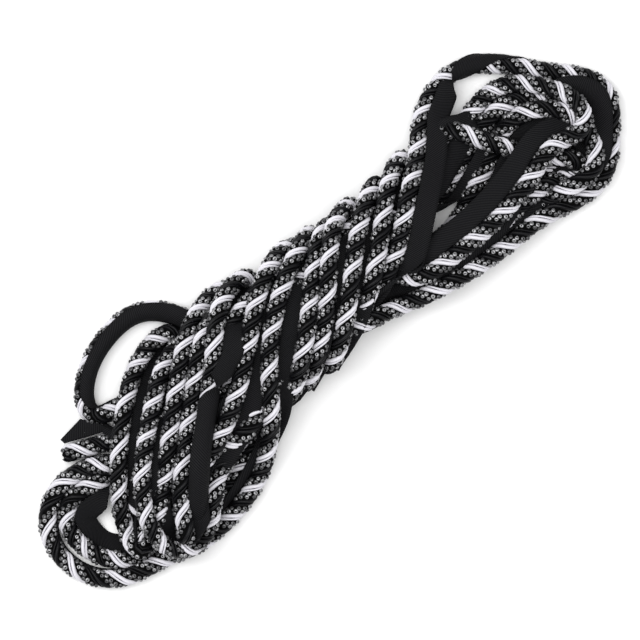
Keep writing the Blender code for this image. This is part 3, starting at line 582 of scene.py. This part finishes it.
def tape_rows(points):
    """Places across the tape, from the cord's centre, at each step of a stretch."""
    side, up, tangent = carried_frame(points)
    right, above = level_frame(tangent)
    angle = lean_angle(side, up, right) + np.radians(points[:, TURN])
    given = np.nonzero(points[:, HOLD] > 0.99)[0]
    angle = np.interp(np.arange(len(points)), given, np.unwrap(angle[given]))
    rows = np.zeros((len(points), 4, 3))
    for i in range(len(points)):
        press = points[i, PRESS]
        for k, (free_angle, free_radius) in enumerate(free_section(points[i, TURN])):
            offset, radius = TAPE_PRESSED[k]
            turned_angle = angle[i] + math.radians(offset)
            free = right[i] * math.cos(free_angle) + above[i] * math.sin(free_angle)
            free = free_radius * free
            pressed = side[i] * math.cos(turned_angle) + up[i] * math.sin(turned_angle)
            pressed = radius * pressed
            rows[i, k] = (1 - press) * free + press * pressed
    return rows


def white_angle(line, side, up, tangent):
    """Angle of the white ply in the carried frame, so that it tops each mark."""
    right, _above = level_frame(tangent)
    lean = lean_angle(side, up, right)
    s = arc_lengths(line)
    rate = -2 * math.pi / PLY_PITCH
    marks = []
    numbers = {}
    for number, (name, _kind, _points) in enumerate(RUNS):
        numbers.setdefault(name, []).append(number)
    for name, points in WHITE_MARKS:
        inside = line[:, RUN] > min(numbers[name]) - RUN_MARGIN
        inside &= line[:, RUN] < max(numbers[name]) + RUN_MARGIN
        index = np.nonzero(inside)[0]
        for px, py in points:
            gap = np.linalg.norm(line[index, :2] - pixel_to_model(px, py), axis=1)
            k = index[int(np.argmin(gap))]
            marks.append((s[k], lean[k] + 0.5 * math.pi - rate * s[k]))
    marks.sort()
    at = [marks[0][0]]
    drift = [marks[0][1]]
    for place, wanted in marks[1:]:
        if place - at[-1] > MARK_SPACING:
            change = wanted - drift[-1]
            drift.append(drift[-1] + change - 2 * math.pi * round(change / (2 * math.pi)))
            at.append(place)
    fair = np.interp(s, at, drift)
    width = int(round(BLEND_LENGTH / STRAND_STEP))
    kernel = np.hanning(2 * width + 1)
    kernel /= kernel.sum()
    return rate * s + np.convolve(np.pad(fair, width, mode="edge"), kernel, "valid")


def make_mesh(name, verts, faces, materials, uv=None, face_materials=None):
    """A smooth mesh object from arrays of points and of equal-sided faces."""
    mesh = bpy.data.meshes.new(name)
    mesh.vertices.add(len(verts))
    mesh.vertices.foreach_set("co", (np.asarray(verts) * MM).astype(np.float32).ravel())
    mesh.loops.add(faces.size)
    mesh.loops.foreach_set("vertex_index", faces.astype(np.int32).ravel())
    mesh.polygons.add(len(faces))
    mesh.polygons.foreach_set("loop_start", np.arange(0, faces.size, faces.shape[1], dtype=np.int32))
    if face_materials is not None:
        mesh.polygons.foreach_set("material_index", face_materials.astype(np.int32))
    mesh.update(calc_edges=True)
    mesh.validate()
    if uv is not None:
        layer = mesh.uv_layers.new(name="along")
        layer.data.foreach_set("uv", uv.astype(np.float32).ravel())
    mesh.shade_smooth()
    for material in materials:
        mesh.materials.append(material)
    obj = bpy.data.objects.new(name, mesh)
    bpy.context.scene.collection.objects.link(obj)
    return obj


def ring_faces(rings, sides):
    """Quads between rings of points, facing out."""
    i = np.arange(rings - 1)[:, None]
    k = np.arange(sides)[None, :]
    a = i * sides + k
    b = i * sides + (k + 1) % sides
    return np.stack([a, a + sides, b + sides, b], axis=-1).reshape(-1, 4)


def ring_uv(s, starts, ends):
    """Distance along and round, in millimetres, for each corner of the quads."""
    u0 = np.repeat(s[:-1], len(starts))
    u1 = np.repeat(s[1:], len(starts))
    v0 = np.tile(starts, len(s) - 1)
    v1 = np.tile(ends, len(s) - 1)
    return np.stack([u0, v0, u1, v0, u1, v1, u0, v1], axis=-1)


def tube(name, centre, across, out, half_across, half_out, sides, s, material):
    """A tube of oval section along a line, with rounded ends."""
    angle = 2 * math.pi * np.arange(sides) / sides
    scale = np.ones(len(centre))
    scale[[0, -1]] = TUBE_ENDS[0]
    scale[[1, -2]] = TUBE_ENDS[1]
    wide = (half_across * scale)[:, None] * np.cos(angle)[None, :]
    high = (half_out * scale)[:, None] * np.sin(angle)[None, :]
    verts = (centre[:, None, :] + across[:, None, :] * wide[:, :, None]
             + out[:, None, :] * high[:, :, None])
    around = math.pi * (half_across + half_out)
    places = np.arange(sides + 1) / sides * around
    return make_mesh(name, verts.reshape(-1, 3), ring_faces(len(centre), sides), [material],
                     ring_uv(s, places[:-1], places[1:]))


def finer(rows, count):
    """Rows of four places as smooth rows of more places."""
    first = 2 * rows[:, :1] - rows[:, 1:2]
    last = 2 * rows[:, -1:] - rows[:, -2:-1]
    ends = np.concatenate([first, rows, last], axis=1)
    out = []
    for value in np.linspace(0, 3, count):
        i = min(int(value), 2)
        t = value - i
        p0, p1, p2, p3 = (ends[:, i + k] for k in range(4))
        out.append(0.5 * (2 * p1 + (p2 - p0) * t + (2 * p0 - 5 * p1 + 4 * p2 - p3) * t * t
                          + (3 * p1 - p0 - 3 * p2 + p3) * t ** 3))
    return np.stack(out, axis=1)


def make_tape(line, s, material):
    """The tape along the whole line, as a thin closed strip."""
    tangent = unit(np.gradient(line[:, :3], axis=0))
    mids = finer(tape_rows(line), TAPE_POINTS)
    way = unit(np.gradient(mids, axis=1))
    face = unit(np.cross(way, tangent[:, None, :]))
    share = np.linspace(0, 1, TAPE_POINTS)
    wave = sum(height * np.sin(s / length + start) for height, length, start in TAPE_WAVES)
    loose = (1 - line[:, PRESS]) * wave
    mids = mids + face * (loose[:, None] * share[None, :] ** 2)[:, :, None]
    offs = face * 0.5 * TAPE_THICKNESS
    ring = np.concatenate([mids - offs, (mids + offs)[:, ::-1]], axis=1)
    verts = (line[:, None, :3] + ring).reshape(-1, 3)
    verts[:, 2] = np.maximum(verts[:, 2], FLOOR_GAP)
    places = np.concatenate([share, share[::-1]]) * TAPE_WIDTH
    return make_mesh("tape", verts, ring_faces(len(line), len(places)), [material],
                     ring_uv(s, places, np.roll(places, -1)))


def make_loose_tape(material):
    """The cut end of the tape, a thin plate over its plan outline."""
    outline = np.array(LOOSE_TAPE)
    count = len(outline)
    middle = outline.mean(axis=0)
    rings = []
    for share, rise in LOOSE_PROFILE:
        ring = middle + (outline - middle) * share
        ring[:, 2] += 0.5 * TAPE_THICKNESS * rise
        rings.append(ring)
    verts = np.vstack(rings)
    faces = ring_faces(len(rings), count)
    uv = verts[faces.ravel(), :2].reshape(-1, 8)
    return make_mesh("loose_tape", verts, faces, [material], uv)


def bead_shape(radius):
    """One ring-like bead: points and triangles, the first ones its dark middle."""
    count = BEAD_SEGMENTS
    angle = 2 * math.pi * np.arange(count) / count
    ring = np.column_stack([np.cos(angle), np.sin(angle), np.zeros(count)])
    rings = [ring * radius * wide + np.array([0, 0, rise]) for wide, rise in BEAD_PROFILE]
    points = np.vstack([[[0, 0, BEAD_PROFILE[0][1]]]] + rings)
    faces = [(0, 1 + k, 1 + (k + 1) % count) for k in range(count)]
    for level in range(len(rings) - 1):
        for k in range(count):
            a = 1 + level * count + k
            b = 1 + level * count + (k + 1) % count
            faces.append((a, a + count, b + count))
            faces.append((a, b + count, b))
    return points, np.array(faces)


def buried(places, solid):
    """Which places lie deep inside a solid."""
    deep = np.zeros(len(places), dtype=bool)
    for i, place in enumerate(places):
        point = Vector(place * MM)
        found, near, normal, _face = solid.closest_point_on_mesh(point)
        if found:
            way = point - near
            deep[i] = way.dot(normal) < 0 and way.length > BURIED_DEPTH * MM
    return deep


def make_beads(name, centre, out, across, along, seed, solid, materials):
    """Rows of ring-like beads on a metallic ply."""
    rng = np.random.default_rng(seed)
    s = arc_lengths(centre)
    verts = []
    faces = []
    slots = []
    total = 0
    for row, (angle, radius) in enumerate(BEAD_ROWS):
        at = np.arange(FIRST_BEAD + 0.5 * BEAD_SPACING * (row % 2), s[-1] - LAST_BEAD, BEAD_SPACING)
        at = at + rng.uniform(-BEAD_SHIFT, BEAD_SHIFT, len(at))
        middle, outward, sideways, forward = (
            np.column_stack([np.interp(at, s, part[:, k]) for k in range(3)])
            for part in (centre, out, across, along))
        tilt = np.radians(angle + rng.uniform(-BEAD_TILT, BEAD_TILT, len(at)))[:, None]
        normal = unit(outward * np.cos(tilt) + sideways * np.sin(tilt))
        forward = unit(forward - normal * np.sum(forward * normal, axis=1)[:, None])
        lateral = np.cross(normal, forward)
        place = middle + normal * BEAD_PLY_RADIUS
        keep = ~buried(place, solid)
        keep &= place[:, 2] > LOWEST_BEAD
        place, normal, forward, lateral = (part[keep] for part in (place, normal, forward, lateral))
        shape, shape_faces = bead_shape(radius)
        local = shape[None, :, :] * rng.uniform(*BEAD_SIZES, len(place))[:, None, None]
        points = (place[:, None, :] + forward[:, None, :] * local[:, :, 0:1]
                  + lateral[:, None, :] * local[:, :, 1:2] + normal[:, None, :] * local[:, :, 2:3])
        points[:, :, 2] = np.maximum(points[:, :, 2], FLOOR_GAP)
        count = len(place)
        base = total + np.arange(count)[:, None, None] * len(shape)
        verts.append(points.reshape(-1, 3))
        faces.append((shape_faces[None, :, :] + base).reshape(-1, 3))
        tone = rng.integers(1, 3, count)[:, None]
        slot = np.where(np.arange(len(shape_faces))[None, :] < BEAD_SEGMENTS, 0, tone)
        slots.append(np.broadcast_to(slot, (count, len(shape_faces))).ravel())
        total += count * len(shape)
    return make_mesh(name, np.vstack(verts), np.vstack(faces), materials,
                     face_materials=np.concatenate(slots))


def new_material(finish):
    name, color, roughness, metallic, specular = FINISHES[finish]
    material = bpy.data.materials.new(name)
    material.use_nodes = True
    shader = material.node_tree.nodes["Principled BSDF"]
    shader.inputs["Base Color"].default_value = (*color, 1.0)
    shader.inputs["Roughness"].default_value = roughness
    shader.inputs["Metallic"].default_value = metallic
    shader.inputs["Specular IOR Level"].default_value = specular
    if finish in LINES:
        add_lines(material.node_tree, shader, *LINES[finish])
    return material


def add_lines(tree, shader, direction, scale, strength, distance, low, high):
    """Fine parallel lines on a surface, as a bump and a slight change of tone."""
    uv = tree.nodes.new("ShaderNodeUVMap")
    uv.uv_map = "along"
    turn = tree.nodes.new("ShaderNodeMapping")
    turn.inputs["Rotation"].default_value = (0.0, 0.0, math.radians(direction))
    wave = tree.nodes.new("ShaderNodeTexWave")
    wave.wave_type = "BANDS"
    wave.bands_direction = "X"
    wave.inputs["Scale"].default_value = scale
    wave.inputs["Distortion"].default_value = 0.6
    wave.inputs["Detail"].default_value = 1.0
    bump = tree.nodes.new("ShaderNodeBump")
    bump.inputs["Strength"].default_value = strength
    bump.inputs["Distance"].default_value = distance
    tone = tree.nodes.new("ShaderNodeMix")
    tone.data_type = "RGBA"
    tone.inputs["A"].default_value = (*low, 1.0)
    tone.inputs["B"].default_value = (*high, 1.0)
    links = tree.links
    links.new(uv.outputs["UV"], turn.inputs["Vector"])
    links.new(turn.outputs["Vector"], wave.inputs["Vector"])
    links.new(wave.outputs["Fac"], bump.inputs["Height"])
    links.new(bump.outputs["Normal"], shader.inputs["Normal"])
    links.new(wave.outputs["Fac"], tone.inputs["Factor"])
    links.new(tone.outputs["Result"], shader.inputs["Base Color"])


def area_light(name, place, size, power):
    """A square lamp that points at the middle of the hank's plan."""
    data = bpy.data.lights.new(name, "AREA")
    data.shape = "SQUARE"
    data.size = size
    data.energy = power
    lamp = bpy.data.objects.new(name, data)
    lamp.location = place
    lamp.rotation_euler = (Vector() - Vector(place)).to_track_quat("-Z", "Y").to_euler()
    bpy.context.scene.collection.objects.link(lamp)


def make_studio():
    floor_mesh = bpy.data.meshes.new("studio_floor")
    corners = [(x * FLOOR_REACH, y * FLOOR_REACH, 0) for x, y in ((-1, -1), (1, -1), (1, 1), (-1, 1))]
    floor_mesh.from_pydata(corners, [], [(0, 1, 2, 3)])
    floor = bpy.data.objects.new("studio_floor", floor_mesh)
    bpy.context.scene.collection.objects.link(floor)
    floor_mesh.materials.append(new_material("floor"))
    world = bpy.data.worlds.new("studio")
    world.use_nodes = True
    background = world.node_tree.nodes["Background"]
    background.inputs["Color"].default_value = (1.0, 1.0, 1.0, 1.0)
    background.inputs["Strength"].default_value = WORLD_LIGHT
    bpy.context.scene.world = world
    bpy.context.scene.view_settings.view_transform = "Standard"
    for lamp in LAMPS:
        area_light(*lamp)


def make_camera():
    """A far camera straight above, rolled to the view that the plan was read from."""
    a = math.radians(VIEW_TURN)
    right = Vector((math.cos(a), -math.sin(a), 0.0))
    above = Vector((math.sin(a), math.cos(a), 0.0))
    back = Vector((0.0, 0.0, 1.0))
    data = bpy.data.cameras.new("camera")
    data.sensor_width = CAMERA_SENSOR
    data.lens = CAMERA_SENSOR * CAMERA_DISTANCE / (VIEW_SIZE * MM_PER_PIXEL * MM)
    camera = bpy.data.objects.new("camera", data)
    height = CAMERA_DISTANCE + HANK_MIDDLE_HEIGHT
    place = Vector((-MIDDLE_SHIFT[0] * MM, -MIDDLE_SHIFT[1] * MM, height))
    roll = Matrix((right, above, back)).transposed().to_4x4()
    camera.matrix_world = Matrix.Translation(place) @ roll
    bpy.context.scene.collection.objects.link(camera)
    bpy.context.scene.camera = camera


make_camera()
make_studio()
looks = {finish: new_material(finish) for finish in FINISHES if finish != "floor"}
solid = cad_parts["hank"]

route = smooth_curve(to_model(lay_passes(control_rows())), FINE_SPANS)
line = stretch(route, 0.0, math.inf, STRAND_STEP)
s = arc_lengths(line)
side, up, tangent = carried_frame(line)
white = white_angle(line, side, up, tangent)

# the cord's dark core; where it shows between the yarns of a satin ply its near-black is painted shade in
# the groove
core = tube("cord", line[:, :3], side, up, CORE_RADIUS, CORE_RADIUS, CORE_SIDES, s, looks["core"])

on_cord = []
for ply, kind in enumerate(("white", "bead", "black", "bead")):
    angle = white + ply * math.pi / 2
    out = side * np.cos(angle)[:, None] + up * np.sin(angle)[:, None]
    centre = line[:, :3] + out * PLY_CENTRE
    along = unit(np.gradient(centre, axis=0))
    across = unit(np.cross(along, out))
    if kind == "bead":
        number = ply // 2 + 1
        on_cord.append(tube("bead_ply_%d" % number, centre, across, out, BEAD_PLY_RADIUS, BEAD_PLY_RADIUS,
                            CORE_SIDES, arc_lengths(centre), looks["core"]))
        on_cord.append(make_beads("beads_%d" % number, centre, out, across, along, BEAD_SEED + ply, solid,
                                  [looks["bead_hole"], looks["bead_light"], looks["bead_grey"]]))
    else:
        for number, (offset, lift, half_across, half_out) in enumerate(SATIN_YARNS, 1):
            yarn = centre + across * offset + out * lift
            on_cord.append(tube("%s_yarn_%d" % (kind, number), yarn, across, out, half_across, half_out,
                                YARN_SIDES, arc_lengths(yarn), looks[kind]))

tape_line = stretch(route, LOOSE_LENGTH - TAPE_OVERLAP, math.inf, TAPE_STEP)
tape = make_tape(tape_line, arc_lengths(tape_line), looks["tape"])
loose_tape = make_loose_tape(looks["tape"])

for piece in [core, tape, loose_tape] + on_cord:
    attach(piece, "root")
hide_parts("hank", "loose_end_cord")
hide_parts("loose_end_tape")
